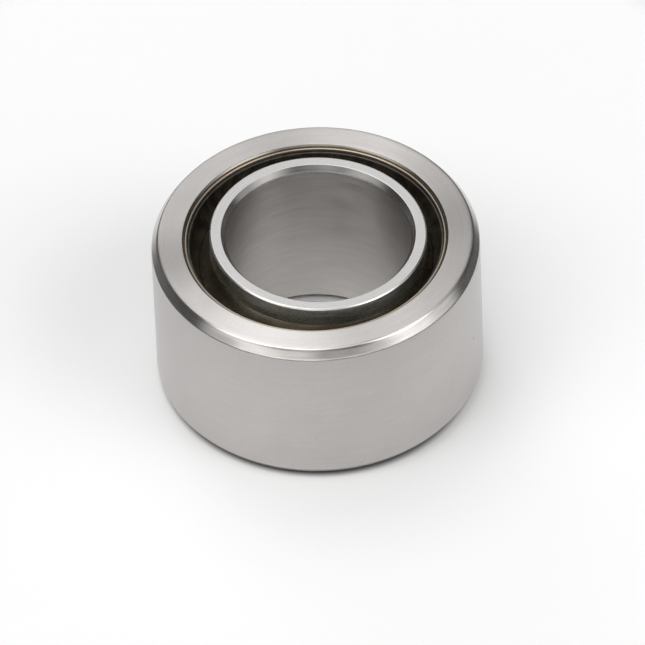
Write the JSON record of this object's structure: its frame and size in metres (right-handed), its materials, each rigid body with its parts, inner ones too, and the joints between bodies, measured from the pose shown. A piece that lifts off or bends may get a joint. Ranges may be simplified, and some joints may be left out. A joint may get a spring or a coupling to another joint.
{
  "type": "spherical plain bearing",
  "caption": "Sealed spherical plain bearing: wide chamfered outer ring around a ball with short necks and a through bore, tilting and turning freely inside it.",
  "frame": {"origin": "centre of the ball, on the bore's axis midway between the inner ring's faces", "axes": "+Z along the bore's axis, up as the loose bearing stands; -X towards the side that the outer ring leans to"},
  "size_m": [0.063, 0.062, 0.035],
  "materials": {
    "outer_ring_steel": "satin ground, fine turning marks on the face",
    "inner_ring_steel": "ground faces and honed bore, polished ball and necks",
    "retainer_steel": "smooth rolled sheet, slightly warm",
    "seal_rubber": "smooth moulded, oiled",
    "liner": "woven, bonded"
  },
  "bodies": {
    "outer_ring": {"outer_ring": "outer_ring_steel", "sliding_liner": "liner", "upper_retainer": "retainer_steel", "lower_retainer": "retainer_steel", "lower_seal": "seal_rubber"},
    "upper_seal": {"upper_seal": "seal_rubber"},
    "inner_ring": {"inner_ring": "inner_ring_steel"}
  },
  "joints": [
    {"name": "seal_swivel", "type": "hinge", "parent": "outer_ring", "child": "upper_seal", "pos_m": [0, 0, 0], "axis": [-0.0357, 0, 0.9994], "continuous": true},
    {"name": "ring_tilt", "type": "hinge", "parent": "upper_seal", "child": "inner_ring", "pos_m": [0, 0, 0], "axis": [0, 1, 0], "range_deg": [-9.05, 4.95]}
  ]
}
